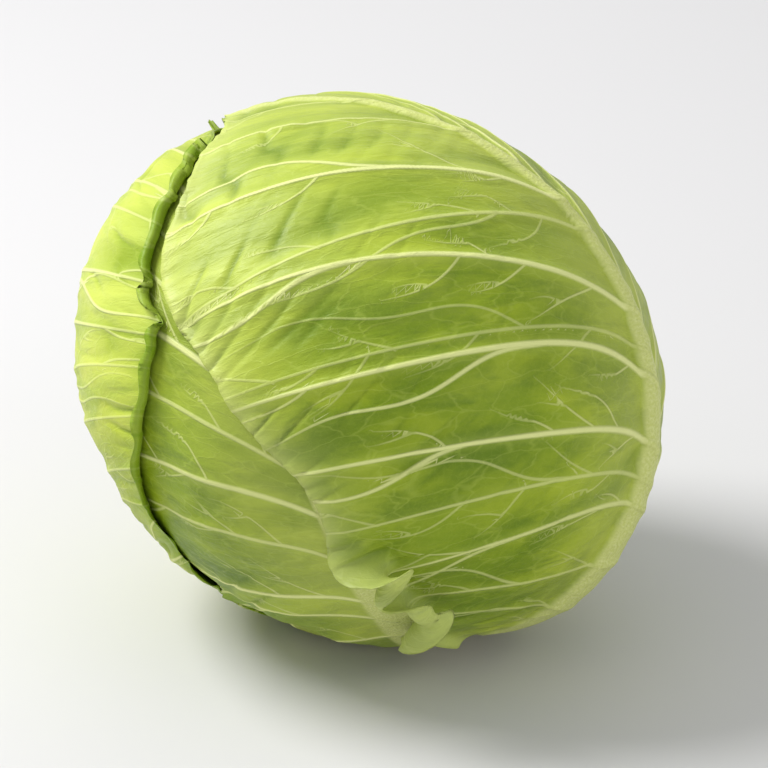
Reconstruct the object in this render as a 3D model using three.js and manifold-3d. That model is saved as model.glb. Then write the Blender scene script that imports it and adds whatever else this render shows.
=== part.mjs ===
// A white cabbage head, standing slightly tipped on its stem end.
// Millimetres, +Z up, origin on the floor under the middle of the head.
//
// The outside of the head is one smooth envelope around CENTRE. Every wrapper leaf is a thin
// closed shell that follows that envelope, one leaf thickness deeper for each leaf lying on it,
// and rises to the envelope again beyond the covering leaf's margin. The heart, the tight ball of
// young leaves, fills what is left, and the cut stem sits in a socket in it.
import * as THREE from "three";
import Module from "manifold-3d";
import { mergeVertices } from "three/addons/utils/BufferGeometryUtils.js";

// ---- driving dimensions --------------------------------------------------------------------
const CENTRE = new THREE.Vector3(0, 0, 71.4); // middle of the head above the floor
const WIDE = 82; // long half-axis of the envelope
const SQUAT = 72.5; // short half-axis of the envelope
const SQUAT_AXIS = new THREE.Vector3(0.52, 0.348, 0.78).normalize();
const STEM_AXIS = new THREE.Vector3(0.3, -0.29, -0.92).normalize(); // centre towards the stem
const FIRST_LEAF = new THREE.Vector3(0.801, -0.138, 0.592); // middle of the outermost leaf
const HOLLOW = { depth: 4, spread: 12 }; // dimple round the stem: mm deep, degrees wide

const BLADE = 1.2; // thickness of a leaf blade
const MARGIN = 0.8; // thickness at its margin
const MARGIN_RUN = 7; // the blade thins out over this distance
const GAP = 0.6; // air between one leaf and the next
const COVER_PAD = 3; // a covering leaf presses this far past its margin
const COVER_FADE = 24; // and the leaf below rises back over this distance
const FLOOR_FADE = 6; // or over this one where it is pressed against the floor

const STEM = { radius: 14, outer: 72.3, inner: 58, clearance: 0.4, bevel: 0.8, sides: 40 };
// The midrib is highest at 'full' degrees from the stem and gone at 'fadeAt'.
const RIB = { rise: 3.6, halfWidth: 11, from: 10, full: 36, fadeAt: 165 };
const GOLDEN = 137.5; // degrees round the stem from one leaf to the next
const HEART_STEPS = 18; // grid cells along one side of the heart's six faces
const HEART_ROOM = 0.5; // extra air round the heart

// Margins are radii in degrees about the leaf's middle, by direction: 0 is the tip, 180 the base,
// positive is the right-hand side seen from outside with the tip up.
const LEAVES = [
  {
    name: "front_leaf", turn: 0, rise: 105, cells: 24,
    margin: [[0, 87], [30, 87], [60, 82], [90, 78], [120, 78], [148, 80], [165, 86], [173, 92],
      [180, 92.5], [-171, 93], [-160, 98], [-147, 101], [-133, 101], [-120, 98], [-105, 92],
      [-80, 95], [-53, 98], [-40, 92], [-28, 86], [-15, 83]],
  },
  {
    name: "left_leaf", turn: GOLDEN, rise: 100, cells: 22,
    meets: { leaf: 0, from: -24, full: 6, to: 112, under: -30, gap: 3.8 },
    margin: [[0, 84], [40, 104], [75, 104], [100, 92], [125, 84], [150, 78], [165, 81], [173, 87],
      [180, 87.5], [-173, 87], [-165, 79], [-140, 72], [-110, 72], [-80, 76], [-40, 80]],
  },
  {
    name: "lower_front_leaf", turn: 2 * GOLDEN, rise: 92, cells: 18,
    margin: [[0, 78], [45, 80], [90, 76], [125, 70], [150, 67], [165, 73], [173, 79],
      [180, 79.5], [-173, 79], [-165, 73], [-150, 66], [-125, 68], [-90, 74], [-45, 78]],
  },
  {
    name: "right_back_leaf", turn: 3 * GOLDEN, rise: 86, cells: 16,
    margin: [[0, 68], [45, 66], [90, 60], [125, 58], [150, 60], [165, 67], [173, 73],
      [180, 73.5], [-173, 73], [-165, 67], [-150, 60], [-125, 58], [-90, 60], [-45, 66]],
  },
  {
    name: "left_back_leaf", turn: 4 * GOLDEN, rise: 84, cells: 16,
    margin: [[0, 62], [45, 62], [90, 58], [125, 56], [150, 58], [165, 65], [173, 71],
      [180, 71.5], [-173, 71], [-165, 65], [-150, 58], [-125, 56], [-90, 58], [-45, 62]],
  },
  {
    name: "under_front_leaf", turn: 5 * GOLDEN, rise: 82, cells: 16,
    margin: [[0, 58], [45, 60], [90, 57], [125, 56], [150, 57], [165, 63], [173, 69],
      [180, 69.5], [-173, 69], [-165, 63], [-150, 57], [-125, 56], [-90, 57], [-45, 60]],
  },
  {
    name: "under_back_leaf", turn: 6 * GOLDEN, rise: 80, cells: 16,
    margin: [[0, 56], [45, 57], [90, 55], [125, 54], [150, 56], [165, 61], [173, 67],
      [180, 67.5], [-173, 67], [-165, 61], [-150, 56], [-125, 54], [-90, 55], [-45, 57]],
  },
];

// ---- small maths ---------------------------------------------------------------------------
const RAD = Math.PI / 180;
const MEAN = (2 * WIDE + SQUAT) / 3; // turns an angle at the centre into millimetres
const clamp = (x, low, high) => Math.min(high, Math.max(low, x));

function smooth(x, from, to) {
  const s = clamp((x - from) / (to - from), 0, 1);
  return s * s * (3 - 2 * s);
}

// A closed curve through [angle, value] points, in degrees, as a smooth function of the angle.
function roundCurve(points) {
  const sorted = points.map(([a, v]) => [((a % 360) + 360) % 360, v]).sort((p, q) => p[0] - q[0]);
  const n = sorted.length;
  const at = (i) => {
    const k = ((i % n) + n) % n;
    return [sorted[k][0] + 360 * Math.floor(i / n), sorted[k][1]];
  };
  const slope = (i) => (at(i + 1)[1] - at(i - 1)[1]) / (at(i + 1)[0] - at(i - 1)[0]);
  return (angle) => {
    const a = ((angle % 360) + 360) % 360;
    let i = -1;
    while (i + 1 < n && at(i + 1)[0] <= a) i++;
    const [a0, v0] = at(i);
    const [a1, v1] = at(i + 1);
    const h = a1 - a0;
    const s = (a - a0) / h;
    return (
      v0 * (1 + 2 * s) * (1 - s) ** 2 + slope(i) * h * s * (1 - s) ** 2 +
      v1 * s * s * (3 - 2 * s) + slope(i + 1) * h * s * s * (s - 1)
    );
  };
}

// ---- the envelope --------------------------------------------------------------------------
function envelope(dir) {
  const along = dir.dot(SQUAT_AXIS);
  const radius = 1 / Math.sqrt((along / SQUAT) ** 2 + (1 - along * along) / WIDE ** 2);
  const fromStem = Math.acos(clamp(dir.dot(STEM_AXIS), -1, 1)) / RAD;
  return radius - HOLLOW.depth * Math.exp(-((fromStem / HOLLOW.spread) ** 2));
}

// Distance from the centre to the floor, so that the head is flat where it rests.
const toFloor = (dir) => (dir.z < -0.05 ? CENTRE.z / -dir.z : Infinity);

// ---- leaf charts ---------------------------------------------------------------------------
const sideways = FIRST_LEAF.clone().addScaledVector(STEM_AXIS, -FIRST_LEAF.dot(STEM_AXIS)).normalize();
const upright = STEM_AXIS.clone().negate();

// A leaf lies on a chart: angle from its middle and direction round it, with the tip upwards.
function chart(leaf) {
  const round = sideways.clone().applyAxisAngle(upright, leaf.turn * RAD);
  const middle = STEM_AXIS.clone().multiplyScalar(Math.cos(leaf.rise * RAD))
    .addScaledVector(round, Math.sin(leaf.rise * RAD));
  const tip = upright.clone().addScaledVector(middle, -upright.dot(middle)).normalize();
  const right = tip.clone().cross(middle);
  const margin = roundCurve(leaf.margin);
  const place = (angle, reach) =>
    middle.clone().multiplyScalar(Math.cos(reach))
      .addScaledVector(tip, Math.sin(reach) * Math.cos(angle))
      .addScaledVector(right, Math.sin(reach) * Math.sin(angle));
  const locate = (dir) => ({
    reach: Math.acos(clamp(dir.dot(middle), -1, 1)),
    angle: Math.atan2(dir.dot(right), dir.dot(tip)),
  });
  const own = (angle) => margin(angle / RAD) * RAD;
  // How far a direction lies beyond the margin, in millimetres, negative inside.
  const beyond = (dir) => {
    const { reach, angle } = locate(dir);
    return (reach - own(angle)) * MEAN;
  };
  return { ...leaf, place, locate, own, beyond };
}
const charts = LEAVES.map(chart);

// The margin of a leaf, which may slip out from under another leaf's margin and then follow it
// edge to edge, a few millimetres away.
function marginOf(leaf) {
  const { meets } = leaf;
  return (angle) => {
    const own = leaf.own(angle);
    if (!meets || angle < meets.from * RAD || angle > meets.to * RAD) return own;
    const apart = meets.under + (meets.gap - meets.under) * smooth(angle / RAD, meets.from, meets.full);
    const clear = (reach) => charts[meets.leaf].beyond(leaf.place(angle, reach)) >= apart;
    if (clear(own)) return own;
    let low = own / 2;
    let high = own;
    for (let i = 0; i < 30; i++) {
      const middle = (low + high) / 2;
      if (clear(middle)) low = middle;
      else high = middle;
    }
    return low;
  };
}

// ---- surfaces ------------------------------------------------------------------------------
// How much a leaf presses on what lies under it: 1 over the leaf, 0 beyond the fade.
const press = (past, fade) => 1 - smooth(past, COVER_PAD, COVER_PAD + fade);

// The radius of the head under the first leaves of the list, its lowest limit at the floor, and
// how far those leaves cover the place.
function underLeaves(dir, count) {
  let depth = 0;
  let lift = 0;
  let cover = 0;
  for (let k = 0; k < count; k++) {
    const past = charts[k].beyond(dir);
    const pressed = press(past, COVER_FADE);
    depth += (BLADE + GAP) * pressed;
    lift += (BLADE + GAP) * press(past, FLOOR_FADE);
    cover = Math.max(cover, pressed);
  }
  const floor = toFloor(dir) - lift;
  return { surface: Math.min(envelope(dir) - depth, floor), floor, cover };
}

function ribHeight(leaf, angle, reach) {
  const across = Math.sin(angle) * Math.sin(reach) * MEAN;
  const up = leaf.rise + (reach * Math.cos(angle)) / RAD; // degrees from the stem
  const strength = clamp(1 - up / RIB.fadeAt, 0, 1) * smooth(up, RIB.from, RIB.full);
  const half = RIB.halfWidth * (0.45 + 0.55 * strength);
  return RIB.rise * strength * Math.max(0, 1 - (across / half) ** 2);
}

const place = (dir, radius) => CENTRE.clone().addScaledVector(dir, radius);

// ---- building solids -----------------------------------------------------------------------
// Concentric map of the square onto the disc: equal cells, with one grid line on the midrib.
function disc(a, b) {
  if (a === 0 && b === 0) return { reach: 0, angle: 0 };
  if (Math.abs(a) > Math.abs(b)) return { reach: Math.abs(a), angle: (a > 0 ? 90 : -90) * RAD - (b / a) * 45 * RAD };
  return { reach: Math.abs(b), angle: b > 0 ? (a / b) * 45 * RAD : 180 * RAD + (a / b) * 45 * RAD };
}

function wrapped(angle) {
  return Math.atan2(Math.sin(angle), Math.cos(angle));
}

function leafGeometry(leaf, index) {
  const n = leaf.cells;
  const margin = marginOf(leaf);
  const outside = [];
  const inside = [];
  for (let j = 0; j <= n; j++) {
    for (let i = 0; i <= n; i++) {
      const spot = disc((2 * i) / n - 1, (2 * j) / n - 1);
      const angle = wrapped(spot.angle);
      const reach = spot.reach * margin(angle);
      const dir = leaf.place(angle, reach);
      const { surface, floor, cover } = underLeaves(dir, index);
      const inset = (1 - spot.reach) * margin(angle) * MEAN;
      const thin = (BLADE - MARGIN) * (1 - smooth(inset, 0, MARGIN_RUN));
      const rib = ribHeight(leaf, angle, reach) * (1 - cover) * smooth(inset, 0, 4);
      outside.push(place(dir, Math.min(surface + rib - thin, floor)));
      inside.push(place(dir, surface - BLADE));
    }
  }
  return shell(outside, inside, n);
}

// Closes two grids of points, one over the other, into one solid.
function shell(outside, inside, n) {
  const vertices = [...outside, ...inside].flatMap((p) => [p.x, p.y, p.z]);
  const below = outside.length;
  const at = (i, j) => j * (n + 1) + i;
  const faces = [];
  const quad = (a, b, c, d, flip) => {
    if (flip) faces.push(a, b, c, a, c, d);
    else faces.push(b, c, d, b, d, a);
  };
  for (let j = 0; j < n; j++) {
    for (let i = 0; i < n; i++) {
      const corners = [at(i, j), at(i + 1, j), at(i + 1, j + 1), at(i, j + 1)];
      const sameWay = i < n / 2 === j < n / 2; // diagonals run outwards from the middle
      quad(...corners, sameWay);
      const [a, b, c, d] = corners.map((v) => v + below);
      quad(d, c, b, a, !sameWay);
    }
  }
  const rim = [];
  for (let i = 0; i < n; i++) rim.push(at(i, 0));
  for (let j = 0; j < n; j++) rim.push(at(n, j));
  for (let i = n; i > 0; i--) rim.push(at(i, n));
  for (let j = n; j > 0; j--) rim.push(at(0, j));
  rim.forEach((a, k) => {
    const b = rim[(k + 1) % rim.length];
    faces.push(a, a + below, b + below, a, b + below, b);
  });
  return geometryOf(vertices, faces);
}

function geometryOf(vertices, faces) {
  const geometry = new THREE.BufferGeometry();
  geometry.setAttribute("position", new THREE.Float32BufferAttribute(vertices, 3));
  geometry.setIndex(faces);
  return geometry;
}

// The heart: a ball on a cube's six gridded faces, pressed in by every wrapper leaf.
function heartGeometry() {
  const cube = new THREE.BoxGeometry(2, 2, 2, HEART_STEPS, HEART_STEPS, HEART_STEPS);
  cube.deleteAttribute("normal");
  cube.deleteAttribute("uv");
  const ball = mergeVertices(cube, 1e-5);
  const position = ball.attributes.position;
  const dir = new THREE.Vector3();
  for (let k = 0; k < position.count; k++) {
    dir.fromBufferAttribute(position, k);
    dir.set(Math.tan(dir.x * 45 * RAD), Math.tan(dir.y * 45 * RAD), Math.tan(dir.z * 45 * RAD)).normalize();
    const { surface } = underLeaves(dir, charts.length);
    const p = place(dir, surface - HEART_ROOM);
    position.setXYZ(k, p.x, p.y, p.z);
  }
  return ball;
}

// A round peg along the stem, from one distance to another out from the centre.
function pegGeometry(radius, inner, outer, bevel) {
  const profile = [
    [0, inner], [radius, inner], [radius, outer - bevel], [radius - bevel, outer], [0, outer],
  ].map(([r, h]) => new THREE.Vector2(r, h));
  const peg = new THREE.LatheGeometry(profile, STEM.sides);
  const turned = new THREE.Quaternion().setFromUnitVectors(new THREE.Vector3(0, 1, 0), STEM_AXIS);
  peg.applyQuaternion(turned);
  peg.translate(CENTRE.x, CENTRE.y, CENTRE.z);
  peg.deleteAttribute("normal");
  peg.deleteAttribute("uv");
  return mergeVertices(peg, 1e-4);
}

const wasm = await Module();
wasm.setup();

function solidOf(geometry) {
  const vertProperties = new Float32Array(geometry.attributes.position.array);
  const triVerts = new Uint32Array(geometry.index.array);
  return new wasm.Manifold(new wasm.Mesh({ numProp: 3, vertProperties, triVerts }));
}

function meshOf(solid) {
  const { vertProperties, triVerts } = solid.getMesh();
  return geometryOf(Array.from(vertProperties), Array.from(triVerts));
}

function heartWithSocket() {
  const { radius, inner, outer, clearance } = STEM;
  const hole = pegGeometry(radius + clearance, inner - clearance, outer + 20, 0.2);
  return meshOf(solidOf(heartGeometry()).subtract(solidOf(hole)));
}

// ---- the head ------------------------------------------------------------------------------
const leafGreen = new THREE.MeshStandardMaterial({ color: 0x9dba4e, roughness: 0.45, metalness: 0 });
const heartGreen = new THREE.MeshStandardMaterial({ color: 0xbccb78, roughness: 0.5, metalness: 0 });
const stemWhite = new THREE.MeshStandardMaterial({ color: 0xe2e2b8, roughness: 0.6, metalness: 0 });

function named(name, geometry, material) {
  const mesh = new THREE.Mesh(geometry, material.clone());
  mesh.name = name;
  return mesh;
}

const cabbage = new THREE.Group();
cabbage.name = "white_cabbage";
charts.forEach((leaf, index) => cabbage.add(named(leaf.name, leafGeometry(leaf, index), leafGreen)));
cabbage.add(named("heart", heartWithSocket(), heartGreen));
cabbage.add(named("stem", pegGeometry(STEM.radius, STEM.inner, STEM.outer, STEM.bevel), stemWhite));

export default cabbage;
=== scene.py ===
# A white cabbage head on a pale floor: every leaf is a thin shell with raised veins.
import math

import bpy
import numpy as np
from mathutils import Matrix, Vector


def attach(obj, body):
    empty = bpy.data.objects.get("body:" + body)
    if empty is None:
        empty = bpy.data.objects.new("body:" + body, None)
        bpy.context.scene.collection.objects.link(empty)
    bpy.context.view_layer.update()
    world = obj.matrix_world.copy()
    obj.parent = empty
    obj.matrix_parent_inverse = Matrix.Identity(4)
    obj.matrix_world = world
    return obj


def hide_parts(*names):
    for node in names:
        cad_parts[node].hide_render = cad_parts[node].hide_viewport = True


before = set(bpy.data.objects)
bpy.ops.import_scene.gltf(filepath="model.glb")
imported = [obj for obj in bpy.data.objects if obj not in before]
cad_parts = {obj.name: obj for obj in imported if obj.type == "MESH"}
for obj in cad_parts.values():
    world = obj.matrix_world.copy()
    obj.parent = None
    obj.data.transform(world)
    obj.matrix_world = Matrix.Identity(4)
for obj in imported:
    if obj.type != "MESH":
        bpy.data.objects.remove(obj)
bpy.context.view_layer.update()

# ---- driving dimensions, in millimetres and degrees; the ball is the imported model's ----------
MM = 0.001
CENTRE = np.array([0.0, 0.0, 71.4])
WIDE = 82.0
SQUAT = 72.5
HOLLOW_DEPTH = 4.0
HOLLOW_SPREAD = 12.0
BLADE = 1.2
MARGIN = 0.5
MARGIN_RUN = 6.0
GAP = 0.6
COVER_PAD = 3.0
COVER_FADE = 24.0
FLOOR_FADE = 6.0
GOLDEN = 137.5
HEART_CUTS = 56
STEM_RADIUS = 14.0
STEM_OUTER = 72.3
STEM_INNER = 58.0
STEM_SIDES = 96
STEM_BEVEL = 0.8
STEM_RINGS = 11
SOCKET_ANGLE = 11.2
RIB_RISE = 3.9
RIB_HALF_WIDTH = 9.5
RIB_FROM = 10.0
RIB_FULL = 34.0
RIB_FADE_AT = 200.0
MEAN = (2 * WIDE + SQUAT) / 3
RAD = math.pi / 180


def unit(v):
    v = np.asarray(v, float)
    return v / np.linalg.norm(v, axis=-1, keepdims=True)


SQUAT_AXIS = unit([0.52, 0.348, 0.78])
STEM_AXIS = unit([0.3, -0.29, -0.92])
FIRST_LEAF = unit([0.801, -0.138, 0.592])

# Margins are radii in degrees about the leaf's middle, by direction: 0 is the tip, 180 the
# base, positive the right-hand side seen from outside with the tip up. A lip is a stretch of
# margin that curls outwards: (middle, half-length in degrees, radius, run in millimetres).
LEAVES = [
    dict(
        name="front_leaf", turn=0, rise=105, cells=212, tint=0.35, rim=0.0,
        margin=[(0, 87), (30, 87), (60, 82), (90, 78), (120, 78), (148, 80), (165, 86), (173, 92),
                (180, 92.5), (-171, 93), (-160, 98), (-147, 101), (-133, 101), (-120, 98),
                (-105, 92), (-80, 95), (-53, 98), (-40, 92), (-28, 86), (-15, 83)],
        lips=[(-45, 60, 9.0, 5), (-132, 17, 5.2, 17), (-156, 9, 4.0, 6), (75, 60, 9.0, 6)],
    ),
    dict(
        name="left_leaf", turn=GOLDEN, rise=100, cells=190, tint=1.08, rim=1.0,
        meets=dict(leaf=0, start=-50, full=-18, end=112, under=-30, gap=3.8),
        margin=[(0, 84), (40, 104), (75, 104), (100, 92), (125, 84), (150, 78), (165, 81), (173, 87),
                (180, 87.5), (-173, 87), (-165, 79), (-140, 72), (-110, 72), (-80, 76), (-40, 80)],
        lips=[(46, 70, 1.6, 4.6), (-130, 35, 9.0, 7)],
    ),
    dict(
        name="lower_front_leaf", turn=2 * GOLDEN, rise=92, cells=150, tint=0.25, rim=0.5,
        margin=[(0, 78), (45, 80), (90, 76), (125, 70), (150, 67), (165, 73), (173, 79), (180, 79.5),
                (-173, 79), (-165, 73), (-150, 66), (-125, 68), (-90, 74), (-45, 78)],
        lips=[(-120, 25, 9.0, 7)],
    ),
    dict(
        name="right_back_leaf", turn=3 * GOLDEN, rise=86, cells=110, tint=0.55, rim=0.5,
        margin=[(0, 68), (45, 66), (90, 60), (125, 58), (150, 60), (165, 67), (173, 73), (180, 73.5),
                (-173, 73), (-165, 67), (-150, 60), (-125, 58), (-90, 60), (-45, 66)],
        lips=[],
    ),
    dict(
        name="left_back_leaf", turn=4 * GOLDEN, rise=84, cells=110, tint=0.6, rim=0.5,
        margin=[(0, 62), (45, 62), (90, 58), (125, 56), (150, 58), (165, 65), (173, 71), (180, 71.5),
                (-173, 71), (-165, 65), (-150, 58), (-125, 56), (-90, 58), (-45, 62)],
        lips=[],
    ),
    dict(
        name="under_front_leaf", turn=5 * GOLDEN, rise=82, cells=110, tint=0.7, rim=0.5,
        margin=[(0, 58), (45, 60), (90, 57), (125, 56), (150, 57), (165, 63), (173, 69), (180, 69.5),
                (-173, 69), (-165, 63), (-150, 57), (-125, 56), (-90, 57), (-45, 60)],
        lips=[],
    ),
    dict(
        name="under_back_leaf", turn=6 * GOLDEN, rise=80, cells=110, tint=0.75, rim=0.5,
        margin=[(0, 56), (45, 57), (90, 55), (125, 54), (150, 56), (165, 61), (173, 67), (180, 67.5),
                (-173, 67), (-165, 61), (-150, 56), (-125, 54), (-90, 55), (-45, 57)],
        lips=[],
    ),
]


# ---- small maths -----------------------------------------------------------------------------
def smooth(x, low, high):
    s = np.clip((x - low) / (high - low), 0, 1)
    return s * s * (3 - 2 * s)


def round_curve(points):
    """A closed curve through (angle, value) points in degrees, as a function of the angle."""
    points = sorted((a % 360, v) for a, v in points)
    a = np.array([p[0] for p in points], float)
    v = np.array([p[1] for p in points], float)
    a = np.concatenate([a[-2:] - 360, a, a[:3] + 360])
    v = np.concatenate([v[-2:], v, v[:3]])
    slope = np.zeros_like(v)
    slope[1:-1] = (v[2:] - v[:-2]) / (a[2:] - a[:-2])

    def curve(angle):
        angle = np.mod(angle, 360)
        i = np.clip(np.searchsorted(a, angle, side="right") - 1, 1, len(a) - 3)
        h = a[i + 1] - a[i]
        s = (angle - a[i]) / h
        return (v[i] * (1 + 2 * s) * (1 - s) ** 2 + slope[i] * h * s * (1 - s) ** 2
                + v[i + 1] * s * s * (3 - 2 * s) + slope[i + 1] * h * s * s * (s - 1))
    return curve


def turned(v, axis, angle):
    c, s = math.cos(angle), math.sin(angle)
    return v * c + np.cross(axis, v) * s + axis * np.dot(axis, v) * (1 - c)


def ripple(p, seed, size, count=7, stretch=(1.0, 1.0)):
    """A smooth random wave of the plane, about -1 to 1: waves of roughly one size."""
    draw = np.random.default_rng(seed)
    total = np.zeros(p.shape[0])
    for _ in range(count):
        turn = draw.uniform(0, 2 * math.pi)
        length = size * draw.uniform(0.65, 1.5)
        phase = draw.uniform(0, 2 * math.pi)
        k = 2 * math.pi / length
        total += np.sin(k * (p[:, 0] / stretch[0] * math.cos(turn)
                             + p[:, 1] / stretch[1] * math.sin(turn)) + phase)
    return total / math.sqrt(count) / 1.3


# ---- the envelope ----------------------------------------------------------------------------
def envelope(d):
    along = d @ SQUAT_AXIS
    radius = 1 / np.sqrt((along / SQUAT) ** 2 + (1 - along ** 2) / WIDE ** 2)
    from_stem = np.arccos(np.clip(d @ STEM_AXIS, -1, 1)) / RAD
    return radius - HOLLOW_DEPTH * np.exp(-((from_stem / HOLLOW_SPREAD) ** 2))


def to_floor(d):
    return np.where(d[:, 2] < -0.05, CENTRE[2] / np.maximum(-d[:, 2], 0.05), 1e6)


class Leaf:
    """A leaf's chart: an angle from its middle and a direction round it, tip upwards."""

    def __init__(self, index, name, turn, rise, cells, tint, rim, margin, lips, meets=None):
        self.index, self.name, self.rise, self.cells = index, name, rise, cells
        self.tint, self.rim, self.lips, self.meets = tint, rim, lips, meets
        self.curve = round_curve(margin)
        up = -STEM_AXIS
        sideways = unit(FIRST_LEAF - STEM_AXIS * np.dot(FIRST_LEAF, STEM_AXIS))
        round_stem = turned(sideways, up, turn * RAD)
        self.middle = STEM_AXIS * math.cos(rise * RAD) + round_stem * math.sin(rise * RAD)
        self.tip = unit(up - self.middle * np.dot(up, self.middle))
        self.right = np.cross(self.tip, self.middle)

    def place(self, angle, reach):
        angle, reach = np.asarray(angle)[..., None], np.asarray(reach)[..., None]
        return (self.middle * np.cos(reach) + self.tip * np.sin(reach) * np.cos(angle)
                + self.right * np.sin(reach) * np.sin(angle))

    def place_xy(self, x, y):
        return self.place(np.arctan2(x, y), np.hypot(x, y) * RAD)

    def locate(self, d):
        return (np.arctan2(d @ self.right, d @ self.tip),
                np.arccos(np.clip(d @ self.middle, -1, 1)))

    def own(self, angle):
        return self.curve(angle / RAD) * RAD

    def beyond(self, d):
        angle, reach = self.locate(d)
        return (reach - self.own(angle)) * MEAN

    def margin(self, angle):
        own = self.own(angle)
        if self.meets is None:
            return own
        m = self.meets
        degrees = angle / RAD
        other = leaves[m["leaf"]]
        apart = m["under"] + (m["gap"] - m["under"]) * smooth(degrees, m["start"], m["full"])
        low, high = own / 2, own.copy()
        for _ in range(24):
            mid = (low + high) / 2
            clear = other.beyond(self.place(angle, mid)) >= apart
            low, high = np.where(clear, mid, low), np.where(clear, high, mid)
        held = (degrees >= m["start"]) & (degrees <= m["end"])
        held &= other.beyond(self.place(angle, own)) < apart
        return np.where(held, low, own)


leaves = []
for number, leaf_data in enumerate(LEAVES):
    leaves.append(Leaf(number, **leaf_data))


def under_leaves(d, count):
    """The head's radius under the first leaves, its limit at the floor, and how covered it is."""
    depth, lift, cover = np.zeros(len(d)), np.zeros(len(d)), np.zeros(len(d))
    for leaf in leaves[:count]:
        past = leaf.beyond(d)
        pressed = 1 - smooth(past, COVER_PAD, COVER_PAD + COVER_FADE)
        depth += (BLADE + GAP) * pressed
        lift += (BLADE + GAP) * (1 - smooth(past, COVER_PAD, COVER_PAD + FLOOR_FADE))
        cover = np.maximum(cover, pressed)
    floor = to_floor(d) - lift
    return np.minimum(envelope(d) - depth, floor), floor, cover


# ---- veins -----------------------------------------------------------------------------------
# A side vein leaves the midrib at 'start' degrees up the leaf, swings out and runs at a slope.
# The front leaf's left half is seen best, so its veins are set one by one:
# (start, slope, swing, strength, where it forks or 0, which way the fork turns).
FRONT_VEINS = [
    (44, 1.5, 5, 0.5, 30, -1), (24, 1.2, 6, 0.6, 0, 0),
    (3, 0.86, 6, 1.0, 27, 1), (-3, 0.45, 8, 0.55, 22, -1), (-21, 0.68, 5, 1.0, 54, -1),
    (-30, 0.42, 7, 0.4, 34, 1), (-37, 0.42, 10, 1.0, 31, -1), (-48, 0.27, 9, 0.95, 53, -1),
    (-52, 0.10, 8, 0.5, 30, 1), (-57, -0.04, 8, 0.75, 40, -1), (-66, -0.03, 3, 0.55, 34, 1),
    (-78, 0.05, 2, 0.5, 30, -1),
]
VEIN_STEP = 0.6  # degrees between the points of a vein
VEIN_LENGTH = 112  # degrees that a side vein runs sideways
VEIN_LIMIT = 118  # degrees from the leaf's middle, past which no vein is drawn
FORK_LENGTH = 64  # degrees
FORK_TURN = 0.32  # radians
CROWDED_WITHIN = 2.2  # degrees
CROWDED_SHARE = 0.12  # of a fine vein's points
FAR_OFF = 8.0  # half-widths beyond which a vein no longer counts
RIB_SHIFT = (6.0, 0.0)  # how far the midrib stands left of the middle: front leaf, others


def line_of(start, slope, swing, side, length, bend, begin=2.0):
    """Points of a side vein on the leaf chart, in degrees."""
    x = np.arange(begin, begin + length, VEIN_STEP)
    y = start + slope * x + swing * (1 - np.exp(-x / 12)) + bend * np.sin(x / 17 + start)
    return np.stack([side * x, y], axis=1)


def branch_of(point, heading, length, curl, wobble):
    """A short vein that leaves a point of the chart at a heading and curls slowly."""
    steps = int(length / VEIN_STEP)
    s = np.arange(steps)
    turn = heading + curl * s / max(steps, 1) + 0.25 * np.sin(s * 0.11 + wobble)
    xy = np.cumsum(np.stack([np.cos(turn), np.sin(turn)], axis=1), axis=0) * VEIN_STEP
    return xy + np.asarray(point)


def crowded(vein, others):
    """Whether a fine vein would run along another one; every third point is enough to tell."""
    if not others:
        return False
    taken = np.concatenate([other[::3] for other in others])
    apart = np.hypot(vein[::3, None, 0] - taken[None, :, 0], vein[::3, None, 1] - taken[None, :, 1])
    return (apart.min(axis=1) < CROWDED_WITHIN).mean() > CROWDED_SHARE


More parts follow.
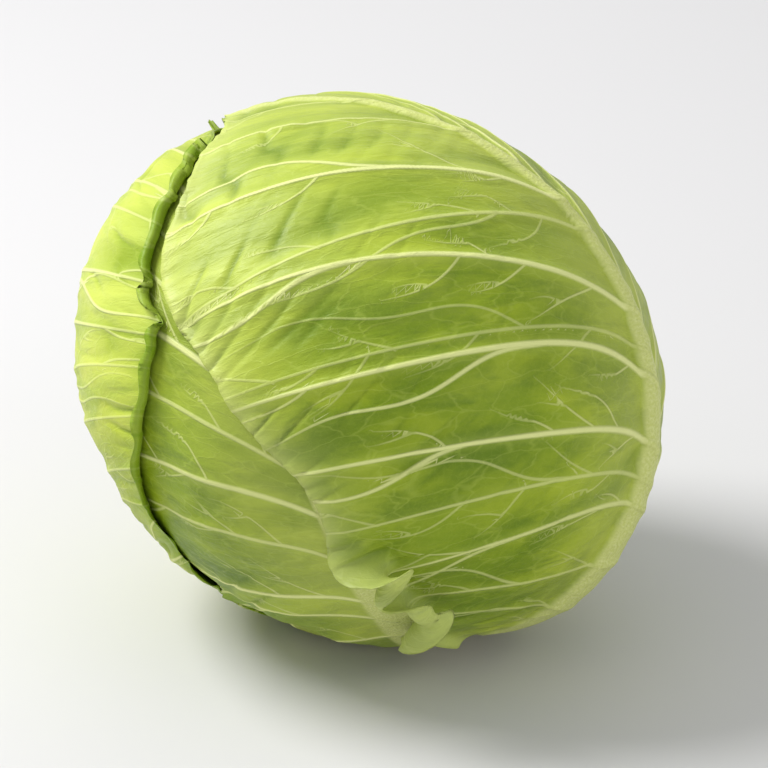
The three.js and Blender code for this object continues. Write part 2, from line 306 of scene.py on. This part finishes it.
def veins_of(leaf):
    """Side veins, then finer ones: (points, half-width mm at root and tip, height mm, paleness)."""
    draw = np.random.default_rng(100 + leaf.index)
    base = -(leaf.rise - 12)
    size = leaf.own(0.0) / RAD
    sides = []
    for side in (-1, 1):
        if leaf.index == 0 and side < 0:
            for start, slope, swing, strength, fork, way in FRONT_VEINS:
                sides.append((side, start, slope, swing, strength, fork, way))
            continue
        start = base + 12 + draw.uniform(0, 4)
        way = 1
        while start < size * 0.62:
            slope = 0.80 + 0.0135 * start + draw.uniform(-0.06, 0.06)
            strength = draw.uniform(0.5, 1.0)
            sides.append((side, start, slope, draw.uniform(6, 10), strength,
                          draw.uniform(26, 50), way))
            way = -way
            start += draw.uniform(7, 13)
    mains, fines = [], []
    for side, start, slope, swing, strength, fork, way in sides:
        main = line_of(start, slope, swing, side, VEIN_LENGTH, draw.uniform(0.4, 1.4),
                       2.0 - side * RIB_SHIFT[leaf.index > 0] * 0.6)
        mains.append((main, 0.85 * strength + 0.35, 0.3, 0.75 * strength + 0.1, strength))
        if fork:
            at = int((fork - 2) / VEIN_STEP)
            run = main[at + 1] - main[at]
            heading = math.atan2(run[1], run[0]) + side * way * FORK_TURN
            arm = branch_of(main[at], heading, FORK_LENGTH, -side * way * 0.20, draw.uniform(0, 6))
            fines.append((arm, 0.6 * strength + 0.28, 0.26, 0.45 * strength + 0.08, 0.8 * strength))
    for main, _, _, _, strength in mains:
        spot = draw.uniform(8, 14)
        turn = draw.choice([-1, 1])
        while spot < 84:
            at = int((spot - 2) / VEIN_STEP)
            run = main[at + 1] - main[at]
            heading = math.atan2(run[1], run[0]) + turn * draw.uniform(0.5, 0.95)
            arm = branch_of(main[at], heading, draw.uniform(9, 22), -turn * draw.uniform(0.1, 0.7),
                            draw.uniform(0, 6))
            others = [fine[0] for fine in fines]
            if not crowded(arm, others):
                fines.append((arm, 0.46, 0.2, 0.15, 0.40 * strength + 0.14))
                twig = branch_of(arm[len(arm) // 2], heading - turn * 0.8, draw.uniform(5, 11),
                                 turn * 0.3, spot)
                if not crowded(twig, others):
                    fines.append((twig, 0.4, 0.2, 0.1, 0.3))
            spot += draw.uniform(4, 9)
            turn = -turn if draw.uniform() < 0.75 else turn
    return mains, fines


def vein_relief(leaf, d, veins):
    """Height in millimetres, and the nearest vein's paleness, side distance and distance.

    The side distance is signed and counted in that vein's own half-widths; the other one is
    counted in the least distance that still shows between two points of the mesh.
    """
    height, pale, across = np.zeros(len(d)), np.zeros(len(d)), np.full(len(d), FAR_OFF)
    gate = np.full(len(d), FAR_OFF)
    for points, root, end, rise, paleness in veins:
        inside = np.hypot(points[:, 0], points[:, 1]) < VEIN_LIMIT
        points = points[: max(3, int(np.argmin(inside)) if not inside.all() else len(points))]
        line = leaf.place_xy(points[:, 0], points[:, 1])
        tangent = unit(np.gradient(line, axis=0))
        sideways = np.cross(line, tangent)
        middle = line[len(line) // 2]
        spread = math.acos(max(-1.0, float(np.min(line @ middle))))
        near = np.nonzero(d @ middle > math.cos(min(spread + 0.08, math.pi)))[0]
        if len(near) == 0:
            continue
        here = d[near]
        best = np.argmax(here.astype(np.float32) @ line.T.astype(np.float32), axis=1)
        offset = (here - line[best]) * MEAN
        side = np.einsum("ij,ij->i", offset, sideways[best])
        past = np.abs(np.einsum("ij,ij->i", offset, tangent[best])) - VEIN_STEP * RAD * MEAN
        away = np.hypot(side, np.maximum(0, past))
        along = best / max(1, len(line) - 1)
        half = root + (end - root) * along
        fade = 1 - smooth(along, 0.55, 1.0)
        bump = np.exp(-(away / (half + 0.9)) ** 2)
        height[near] = np.maximum(height[near], rise * (0.2 + 0.8 * fade) * bump)
        widths = np.minimum(away / half, FAR_OFF)
        closer = widths < np.abs(across[near])
        across[near] = np.where(closer, np.where(side < 0, -widths, widths), across[near])
        pale[near] = np.where(closer, paleness * (0.3 + 0.7 * fade), pale[near])
        gate[near] = np.where(closer, np.minimum(away / np.maximum(0.95, half * 1.35), FAR_OFF),
                              gate[near])
    return height, pale, across, gate


def rib_relief(leaf, angle, reach):
    """Height and paleness of the midrib, broad and ribbed at the base, thin at the tip."""
    across = np.sin(angle) * np.sin(reach) * MEAN
    along = reach * np.cos(angle) / RAD
    across = across + 1.6 * np.sin(along / 23 + leaf.index) * smooth(along, -20, 40)
    shift = RIB_SHIFT[leaf.index > 0] * smooth(along, -112, -82)
    across = across + shift * (1 + 0.8 * smooth(-along, 35, 80))
    up = leaf.rise + along
    strength = np.clip(1 - up / RIB_FADE_AT, 0, 1) ** 1.4
    rise = RIB_RISE * strength ** 0.6 * smooth(up, RIB_FROM, RIB_FULL)
    half = 2.1 + RIB_HALF_WIDTH * strength ** 1.7
    shape = np.maximum(0, 1 - np.abs(across / half) ** 2.2)
    groove = 0.12 * np.cos(across * 2.6) * shape * strength
    skirt = 0.5 * np.exp(-(across / (half * 1.6)) ** 2) * strength
    pale = smooth(shape, 0.0, 0.5) * (0.75 + 0.25 * strength)
    return rise * shape ** 0.8 + groove + skirt, pale


# ---- shells ----------------------------------------------------------------------------------
def disc(a, b):
    """Concentric map of the square onto the disc: reach 0 to 1 and direction."""
    wide = np.abs(a) > np.abs(b)
    safe_a, safe_b = np.where(a == 0, 1, a), np.where(b == 0, 1, b)
    side = np.where(a > 0, 90, -90) - b / safe_a * 45
    up = np.where(b > 0, a / safe_b * 45, 180 + a / safe_b * 45)
    reach = np.maximum(np.abs(a), np.abs(b))
    angle = np.where(wide, side, up) * RAD
    return reach, np.arctan2(np.sin(angle), np.cos(angle))


def ragged(leaf, angle):
    """How far the torn, scalloped margin stands in or out, in radians."""
    spin = np.stack([np.cos(angle), np.sin(angle)], axis=1) * 100
    wave = 0.9 * ripple(spin, 40 + leaf.index, 42) + 0.4 * ripple(spin, 60 + leaf.index, 13)
    tatter = 0.35 * ripple(spin, 70 + leaf.index, 5.5) * smooth(ripple(spin, 71, 40), -0.4, 0.5)
    bites = np.maximum(0, ripple(spin, 80 + leaf.index, 24) - 0.75) * 3.0
    petiole = smooth(np.abs(np.abs(angle) / RAD - 180), 12, 30)
    calm = 0.35 if leaf.meets else 1.0
    return (np.clip(wave + tatter, -1.8, 1.8) - np.minimum(bites, 2.0)) * petiole * calm / MEAN


def curl(leaf, angle, inset):
    """A curling margin: how far a point moves inwards and outwards, and how far it has turned."""
    degrees = angle / RAD
    back, up, turn = np.zeros(len(angle)), np.zeros(len(angle)), np.zeros(len(angle))
    spin = np.stack([np.cos(angle), np.sin(angle)], axis=1) * 100
    uneven = 1 + 0.12 * ripple(spin, 275 + leaf.index, 14)
    for middle, half, radius, run in leaf.lips:
        off = np.abs((degrees - middle + 180) % 360 - 180)
        bend = (1 - smooth(off, half * 0.4, half)) * uneven / radius + 1e-5
        length = np.maximum(run * uneven - inset, 0)
        back += length - np.sin(length * bend) / bend
        up += (1 - np.cos(length * bend)) / bend
        turn += length * bend
    return back, up, turn


def leaf_form(leaf, a, b, outer):
    """Positions in millimetres, and what the leaf's finish needs to know at each point."""
    share, angle = disc(a, b)
    margin = leaf.margin(angle) + ragged(leaf, angle)
    reach = share * margin
    inset = (margin - reach) * MEAN
    d = leaf.place(angle, reach)
    edge = np.exp(-inset / 7.0)

    chart = np.stack([np.sin(angle), np.cos(angle)], axis=1) * (reach / RAD)[:, None]
    side = np.abs(chart[:, 0])
    root = (chart[:, 1] - 8 - 0.8 * side) / (1 + 0.0135 * side)
    flow = np.stack([chart[:, 0] * 0.3, root], axis=1)
    mains, fines = leaf.veins
    main_rise, main_pale, main_across, main_near = vein_relief(leaf, d, mains)
    fine_rise, fine_pale, fine_across, fine_near = vein_relief(leaf, d, fines)
    veins = np.maximum(main_rise, fine_rise)
    rib, rib_pale = rib_relief(leaf, angle, reach)

    swell = 0.5 * ripple(flow, 200 + leaf.index, 15) + 0.22 * ripple(flow, 220 + leaf.index, 8)
    near_edge = np.exp(-inset / 42.0)
    bent = chart * [0.36, 1.0] + np.stack([chart[:, 1], chart[:, 0]], axis=1) * [0.0, -0.42]
    crease = np.maximum(0, 1 - np.abs(ripple(bent, 240 + leaf.index, 12, 5)) * 2.0) ** 1.4
    crease *= smooth(ripple(chart, 250 + leaf.index, 34), -0.5, 0.4) * near_edge
    crinkle = 0.3 * ripple(flow, 245 + leaf.index, 5.0, 9) * (0.12 + 0.8 * edge)
    relief = (swell + crinkle - 1.35 * crease) * (1 - 0.8 * np.clip(rib_pale, 0, 1))

    back, up, turn = curl(leaf, angle, inset)
    thick = (BLADE - (BLADE - MARGIN) * (1 - smooth(inset, 0, MARGIN_RUN))) / 2
    out = thick if outer else -thick
    placed = leaf.place(angle, reach - (back + out * np.sin(turn)) / MEAN)
    surface, floor, cover = under_leaves(placed, leaf.index)
    bare = 1 - cover
    open_air = np.where(cover > 0.95, 0, 1)
    middle = surface - BLADE / 2 + up * open_air
    if outer:
        detail = rib + veins * smooth(inset, 0.5, 6) + relief
        radius = np.minimum(middle + out * np.cos(turn) + detail * bare * np.cos(turn), floor)
    else:
        detail = np.minimum(relief, 0.25) * 0.3
        radius = np.minimum(middle + out * np.cos(turn) + detail * bare, floor - 0.3)
    points = CENTRE + placed * radius[:, None]
    rolled = np.clip(turn / 1.5, 0, 1)
    finish = dict(
        chart=chart * MEAN * RAD, flow=flow * MEAN * RAD, vein=main_pale * (1 - 0.7 * rolled),
        across=main_across, near=main_near, fine_vein=fine_pale * (1 - 0.7 * rolled),
        fine_across=fine_across, fine_near=fine_near, edge=np.clip(edge + 0.6 * rolled, 0, 1),
        # the relief, kept here for the painted shade that darkens the hollows
        shade_relief=np.clip(0.5 + 0.5 * relief, 0, 1), rib=np.clip(rib_pale, 0, 1))
    return points, finish


def deselect():
    if bpy.context.mode != "OBJECT":
        bpy.ops.object.mode_set(mode="OBJECT")
    bpy.ops.object.select_all(action="DESELECT")


def keep(piece, values):
    """Stores what a finish needs as point attributes of the piece."""
    for name, value in values.items():
        kind = "FLOAT_VECTOR" if value.ndim == 2 else "FLOAT"
        attribute = piece.data.attributes.new(name, kind, "POINT")
        if value.ndim == 2:
            value = np.concatenate([value, np.zeros((len(value), 1))], axis=1)
            attribute.data.foreach_set("vector", value.astype(np.float32).ravel())
        else:
            attribute.data.foreach_set("value", value.astype(np.float32))


def coordinates(piece):
    spots = np.empty(len(piece.data.vertices) * 3, np.float32)
    piece.data.vertices.foreach_get("co", spots)
    return spots.reshape(-1, 3).astype(float)


def move_to(piece, points):
    piece.data.vertices.foreach_set("co", (points * MM).astype(np.float32).ravel())
    piece.data.update()


def finish_piece(piece, node, material):
    piece.data.materials.clear()
    piece.data.materials.append(material)
    bpy.ops.object.select_all(action="DESELECT")
    piece.select_set(True)
    bpy.context.view_layer.objects.active = piece
    bpy.ops.object.shade_smooth()
    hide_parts(node)
    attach(piece, "root")


def make_leaf(leaf, material):
    """A gridded sheet, pulled out to a slab, whose two faces become the leaf's two sides."""
    leaf.veins = veins_of(leaf)
    deselect()
    bpy.ops.mesh.primitive_grid_add(x_subdivisions=leaf.cells, y_subdivisions=leaf.cells, size=2)
    piece = bpy.context.object
    piece.name = piece.data.name = leaf.name + "_blade"
    bpy.ops.object.mode_set(mode="EDIT")
    bpy.ops.mesh.select_all(action="SELECT")
    bpy.ops.mesh.extrude_region_move(TRANSFORM_OT_translate={"value": (0, 0, 1)})
    bpy.ops.mesh.select_all(action="SELECT")
    bpy.ops.mesh.normals_make_consistent(inside=False)
    bpy.ops.object.mode_set(mode="OBJECT")
    grid = coordinates(piece)
    points = np.empty_like(grid)
    values = {}
    for outer in (True, False):
        mine = grid[:, 2] > 0.5 if outer else grid[:, 2] <= 0.5
        spots, finish = leaf_form(leaf, grid[mine, 0], grid[mine, 1], outer)
        points[mine] = spots
        for name, value in finish.items():
            shape = (len(grid), 2) if value.ndim == 2 else (len(grid),)
            values.setdefault(name, np.zeros(shape))[mine] = value
    move_to(piece, points)
    keep(piece, values)
    finish_piece(piece, leaf.name, material)
    return piece


def make_heart(material):
    """A ball on a cube's gridded faces, pressed in by every leaf, with a socket for the stem."""
    deselect()
    bpy.ops.mesh.primitive_cube_add(size=2)
    piece = bpy.context.object
    piece.name = piece.data.name = "heart_ball"
    bpy.ops.object.mode_set(mode="EDIT")
    bpy.ops.mesh.select_all(action="SELECT")
    bpy.ops.mesh.subdivide(number_cuts=HEART_CUTS)
    bpy.ops.object.mode_set(mode="OBJECT")
    d = unit(np.tan(coordinates(piece) * 45 * RAD))
    surface, floor, _ = under_leaves(d, len(leaves))
    from_stem = np.arccos(np.clip(d @ STEM_AXIS, -1, 1)) / RAD
    round_stem = np.stack([d @ unit(np.cross(STEM_AXIS, [0, 0, 1])), from_stem / 40], axis=1)
    folds = 0.5 * ripple(round_stem, 7, 0.35) * smooth(from_stem, 14, 30)
    radius = np.minimum(surface - 0.5 + folds * 0.5, floor - 0.4)
    radius = np.where(from_stem < SOCKET_ANGLE, STEM_INNER - 0.6, radius)
    move_to(piece, CENTRE + d * radius[:, None])
    keep(piece, dict(
        chart=round_stem * 60, flow=round_stem * 60, vein=np.full(len(d), 0.5),
        across=ripple(round_stem, 9, 0.2) * 4, near=np.zeros(len(d)), fine_vein=np.zeros(len(d)),
        fine_across=np.full(len(d), FAR_OFF), fine_near=np.full(len(d), FAR_OFF),
        edge=np.zeros(len(d)), shade_relief=np.full(len(d), 0.5), rib=np.zeros(len(d))))
    finish_piece(piece, "heart", material)
    return piece


def make_stem(material):
    """The cut stump: a peg with a rounded, slightly uneven end and a sunken pith."""
    deselect()
    length = STEM_OUTER - STEM_INNER
    bpy.ops.mesh.primitive_cylinder_add(
        vertices=STEM_SIDES, radius=STEM_RADIUS * MM, depth=length * MM, end_fill_type="NGON")
    piece = bpy.context.object
    piece.name = piece.data.name = "stem_stump"
    bpy.ops.object.mode_set(mode="EDIT")
    bpy.ops.mesh.select_all(action="DESELECT")
    bpy.ops.object.mode_set(mode="OBJECT")
    for face in piece.data.polygons:
        face.select = face.normal.z > 0.9
    bpy.ops.object.mode_set(mode="EDIT")
    bpy.ops.mesh.select_mode(type="FACE")
    bpy.ops.mesh.inset(thickness=0.9 * MM, depth=0)
    for _ in range(STEM_RINGS):
        bpy.ops.mesh.inset(thickness=1.1 * MM, depth=0)
    bpy.ops.object.mode_set(mode="OBJECT")
    spots = coordinates(piece) / MM
    ring = np.hypot(spots[:, 0], spots[:, 1])
    turn = np.arctan2(spots[:, 1], spots[:, 0])
    top = spots[:, 2] > length / 2 - 0.01
    spots[:, 2] -= np.where(top & (ring > STEM_RADIUS - 0.3), STEM_BEVEL, 0)
    spots[:, 2] -= np.where(top, 0.9 * np.exp(-(ring / 5.5) ** 4), 0)
    spots[:, 2] -= np.where(top, 0.12 + 0.12 * np.sin(ring * 2.1 + 2 * np.sin(turn * 2)), 0)
    uneven = 1 - 0.02 * (1 + np.sin(5 * turn + 1)) - 0.012 * (1 + np.sin(11 * turn))
    spots[:, :2] *= uneven[:, None]
    side_x = unit(np.cross([0, 0, 1.0], STEM_AXIS))
    side_y = np.cross(STEM_AXIS, side_x)
    middle = (STEM_OUTER + STEM_INNER) / 2
    points = (CENTRE + side_x * spots[:, :1] + side_y * spots[:, 1:2]
              + STEM_AXIS * (spots[:, 2:3] + middle))
    move_to(piece, points)
    keep(piece, dict(ring=ring / STEM_RADIUS, turn=turn))
    finish_piece(piece, "stem", material)
    return piece


# ---- materials -------------------------------------------------------------------------------
class Value:
    """A number that varies over a surface: arithmetic on it adds Math nodes."""

    def __init__(self, finish, socket):
        self.finish, self.socket = finish, socket

    def sum(self, operation, *others, **settings):
        values = {0: self}
        for place, other in enumerate(others, start=1):
            values[place] = other
        return self.finish.node("ShaderNodeMath", dict(operation=operation, **settings), values)

    def __add__(self, other):
        return self.sum("ADD", other)

    __radd__ = __add__

    def __mul__(self, other):
        return self.sum("MULTIPLY", other)

    __rmul__ = __mul__

    def __sub__(self, other):
        return self.sum("SUBTRACT", other)

    def __rsub__(self, other):
        return self.finish.node("ShaderNodeMath", dict(operation="SUBTRACT"), {0: other, 1: self})

    def size(self):
        return self.finish.node("ShaderNodeMath", dict(operation="ABSOLUTE"), {0: self})

    def clamped(self):
        return self.sum("ADD", 0.0, use_clamp=True)

    def step(self, low, high):
        return self.finish.node(
            "ShaderNodeMapRange", dict(interpolation_type="SMOOTHSTEP"),
            {"Value": self, "From Min": low, "From Max": high})


class Finish:
    """A material with one shader; its other nodes come from node()."""

    def __init__(self, name, **constants):
        self.material = bpy.data.materials.new(name)
        self.material.use_nodes = True
        self.tree = self.material.node_tree
        self.shader = self.tree.nodes["Principled BSDF"]
        for socket, value in constants.items():
            self.shader.inputs[socket.replace("_", " ")].default_value = value

    def node(self, kind, settings=None, values=None, output=0):
        node = self.tree.nodes.new(kind)
        for name, value in (settings or {}).items():
            setattr(node, name, value)
        for place, value in (values or {}).items():
            if isinstance(value, Value):
                self.tree.links.new(value.socket, node.inputs[place])
            else:
                node.inputs[place].default_value = value
        return Value(self, node.outputs[output])

    def attribute(self, name, output="Fac"):
        return self.node("ShaderNodeAttribute", dict(attribute_name=name), output=output)

    def mix(self, share, first, second):
        return self.node("ShaderNodeMix", dict(data_type="RGBA"),
                         {0: share, 6: first, 7: second}, output=2)

    def noise(self, where, scale, detail=3.0, rough=0.55):
        return self.node("ShaderNodeTexNoise", {}, {
            "Vector": where, "Scale": scale, "Detail": detail, "Roughness": rough})

    def feed(self, socket, value):
        self.tree.links.new(value.socket, self.shader.inputs[socket])


def colour(red, green, blue):
    """A shader colour from the three numbers of a screen colour."""
    return tuple(((c / 255 + 0.055) / 1.055) ** 2.4 for c in (red, green, blue)) + (1.0,)


def leaf_finish(name, tint, rim):
    """Waxy leaf: pale veins with a fine net between them, over a mottled yellow-green blade, with
    painted light towards the top and painted shade low down and in the hollows.
    """
    f = Finish(name, Specular_IOR_Level=0.26, Coat_Roughness=0.35)
    chart, flow = f.attribute("chart", "Vector"), f.attribute("flow", "Vector")
    edge, shade_relief, rib = f.attribute("edge"), f.attribute("shade_relief"), f.attribute("rib")

    def stripe_of(kind):
        across, near = f.attribute(kind + "across"), f.attribute(kind + "near")
        shown = (1 - across.size().step(0.3, 1.25)) * (1 - near.step(0.9, 1.3))
        return shown * f.attribute(kind + "vein")

    stripe = stripe_of("").sum("MAXIMUM", stripe_of("fine_"))
    glow = (1 - f.attribute("near").step(0.6, 3.2)) * f.attribute("vein")
    vein = stripe.sum("MAXIMUM", rib)

    def bent(where, size, amount):
        shift = f.node("ShaderNodeTexNoise", {}, {"Vector": where, "Scale": size, "Detail": 2.0},
                       output=1)
        return f.node("ShaderNodeVectorMath", dict(operation="MULTIPLY_ADD"),
                      {0: shift, 1: (amount, amount, 0.0), 2: where})

    def net_of(where, size, line):
        cells = f.node("ShaderNodeTexVoronoi", dict(feature="DISTANCE_TO_EDGE"),
                       {"Vector": where, "Scale": size, "Randomness": 1.0})
        return 1 - cells.step(0.0, line)

    net = net_of(bent(flow, 0.3, 4.0), 0.24, 0.05)
    fine_net = net_of(bent(chart, 0.5, 2.5), 0.42, 0.08)
    warp = f.noise(chart, 0.16, 2.0)
    mottle = f.noise(bent(flow, 0.1, 6.0), 0.075, 4.0, 0.6).step(0.34, 0.64)
    patch = f.noise(bent(flow, 0.12, 7.0), 0.11, 4.0, 0.6).step(0.42, 0.66)
    streaks = f.noise(flow, 0.42, 4.0, 0.6).step(0.34, 0.70)
    speckle = f.noise(chart, 0.9, 3.0, 0.6).step(0.35, 0.70)

    light = colour(154 + 40 * tint, 177 + 26 * tint, 24 + 44 * tint)
    middle = colour(112 + 54 * tint, 142 + 40 * tint, 0 + 36 * tint)
    deep = colour(74 + 60 * tint, 106 + 52 * tint, 0 + 24 * tint)
    cream = colour(226, 231, 152)
    blade = f.mix(mottle, middle, light)
    blade = f.mix((patch * 0.88).clamped(), blade, deep)
    blade = f.mix((streaks * 0.25).clamped(), blade, middle)
    blade = f.mix((speckle * 0.12).clamped(), blade, light)
    height = f.node("ShaderNodeSeparateXYZ", {}, {0: chart}, output=1)
    outwards = f.node("ShaderNodeSeparateXYZ", {}, {0: chart}, output=0).size()
    # painted light: the blade is mixed paler towards the top of each leaf, more so away from the
    # midrib
    painted_top_light = height.step(-12.0, 80.0) * (outwards.step(20.0, 85.0) * 0.42 + 0.16)
    blade = f.mix(painted_top_light, blade, colour(208, 222, 104))
    blade = f.mix((1 - outwards.step(6.0, 58.0)) * 0.52, blade, colour(188, 198, 96))
    # painted shade: the blade is mixed towards deep green low on each leaf and away from the midrib
    painted_shade = (1 - height.step(-5.0, 45.0)) * outwards.step(38.0, 72.0)
    blade = f.mix(painted_shade * 0.26, blade, deep)
    # painted shade: the hollows of the relief are mixed towards deep green
    blade = f.mix(((0.5 - shade_relief) * 1.7).clamped(), blade, deep)
    blade = f.mix((glow * 0.22).clamped(), blade, colour(190, 206, 84))
    blade = f.mix((net * 0.16).clamped(), blade, colour(196, 212, 96))
    blade = f.mix((fine_net * 0.06).clamped(), blade, colour(190, 206, 90))
    rim_colour = colour(206 - 96 * rim, 216 - 66 * rim, 124 - 112 * rim)
    blade = f.mix((edge * 0.6).clamped(), blade, rim_colour)
    fibre = f.noise(chart, 1.3, 2.0).step(0.3, 0.8)
    stalk = f.mix(fibre, colour(198, 206, 114), colour(222, 227, 152))
    pale = f.mix(rib, cream, stalk)
    f.feed("Base Color", f.mix((vein * 1.05).clamped(), blade, pale))

    gloss = f.noise(chart, 0.35, 3.0).step(0.3, 0.7)
    f.feed("Roughness", 0.40 + gloss * 0.12 + vein * 0.06)
    f.feed("Coat Weight", 0.02 + gloss * 0.03)

    grain = f.noise(chart, 2.2, 2.0, 0.5)
    relief = (net * 0.10 + fine_net * 0.04 + patch * 0.5 + warp * 0.6 + stripe * 0.9
              + streaks * 0.22 + grain * 0.08 + fibre * rib * 0.3)
    f.feed("Normal", f.node("ShaderNodeBump", {}, {
        "Strength": 0.6, "Distance": 0.0007, "Height": relief}))
    return f.material


def stem_finish():
    """A fresh cut: pale greenish rind, woody ring and a softer, drier pith."""
    f = Finish("cut_stem", Subsurface_Weight=0.08, Subsurface_Radius=(1.0, 0.9, 0.5),
               Subsurface_Scale=0.002, Specular_IOR_Level=0.3)
    ring, turn = f.attribute("ring"), f.attribute("turn")
    spot = f.node("ShaderNodeTexCoord", output=3)
    grain = f.noise(spot, 900.0, 4.0, 0.6)
    blotch = f.noise(spot, 160.0, 3.0, 0.6)
    rays = (turn * 34.0 + blotch * 6.0).sum("SINE") * 0.5 + 0.5
    wood = f.mix(rays * 0.4, colour(226, 222, 178), colour(208, 203, 148))
    pith = f.mix(blotch, colour(234, 232, 204), colour(218, 212, 170))
    face = f.mix(ring.step(0.42, 0.52), pith, wood)
    rind = f.mix(grain, colour(178, 196, 108), colour(198, 208, 132))
    body = f.mix(ring.step(0.86, 0.95), face, rind)
    dry = f.mix((blotch.step(0.5, 0.75) * 0.35).clamped(), body, colour(176, 150, 96))
    f.feed("Base Color", dry)
    f.feed("Roughness", 0.55 + grain * 0.2)
    f.feed("Normal", f.node("ShaderNodeBump", {}, {
        "Strength": 0.4, "Distance": 0.0005, "Height": grain + rays * 0.3}))
    return f.material


def floor_finish():
    f = Finish("pale_floor", Specular_IOR_Level=0.2)
    spot = f.node("ShaderNodeTexCoord", output=3)
    f.feed("Base Color", f.mix(f.noise(spot, 3.0, 2.0), colour(214, 213, 213), colour(217, 216, 216)))
    f.feed("Roughness", 0.7 + f.noise(spot, 8.0, 2.0) * 0.1)
    return f.material


# ---- the set ---------------------------------------------------------------------------------
VIEW_TILT = 24.0
LENS = 350.0
CAMERA_AWAY = 2.02


def make_floor():
    deselect()
    bpy.ops.mesh.primitive_plane_add(size=6, location=(0, 0, -0.0004))
    floor = bpy.context.object
    floor.name = "floor"
    bpy.ops.object.transform_apply(location=True, rotation=True, scale=True)
    floor.data.materials.append(floor_finish())


def aim(thing, target):
    direction = np.asarray(target, float) - np.asarray(thing.location, float)
    thing.rotation_euler = Vector(direction).to_track_quat("-Z", "Y").to_euler()


def make_light(name, place, size, power, tint=(1, 1, 1)):
    data = bpy.data.lights.new(name, "AREA")
    data.shape, data.size, data.energy, data.color = "DISK", size, power, tint
    light = bpy.data.objects.new(name, data)
    bpy.context.scene.collection.objects.link(light)
    light.location = place
    aim(light, (0, 0, 0.07))


def make_camera():
    data = bpy.data.cameras.new("camera")
    data.lens, data.sensor_width = LENS, 36.0
    camera = bpy.data.objects.new("camera", data)
    bpy.context.scene.collection.objects.link(camera)
    tilt = VIEW_TILT * RAD
    target = np.array([0.004, 0.0, 0.068])
    camera.location = target + CAMERA_AWAY * np.array([0, -math.cos(tilt), math.sin(tilt)])
    aim(camera, target)
    bpy.context.scene.camera = camera


def make_studio():
    make_light("key", (-0.75, 0.15, 0.95), 0.6, 14.3)
    make_light("fill", (0.9, -0.9, 0.6), 1.2, 3.8)
    make_light("back", (0.2, 1.1, 0.9), 1.0, 1.5)
    world = bpy.data.worlds.new("studio")
    world.use_nodes = True
    background = world.node_tree.nodes["Background"]
    background.inputs["Color"].default_value = (0.94, 0.95, 0.97, 1)
    background.inputs["Strength"].default_value = 0.55
    bpy.context.scene.world = world
    bpy.context.scene.view_settings.view_transform = "Standard"


# ---- putting it together ---------------------------------------------------------------------
for one in leaves:
    make_leaf(one, leaf_finish("waxy_" + one.name, one.tint, one.rim))
make_heart(leaf_finish("young_leaf", 0.8, 0.5))
make_stem(stem_finish())
make_floor()
make_studio()
make_camera()
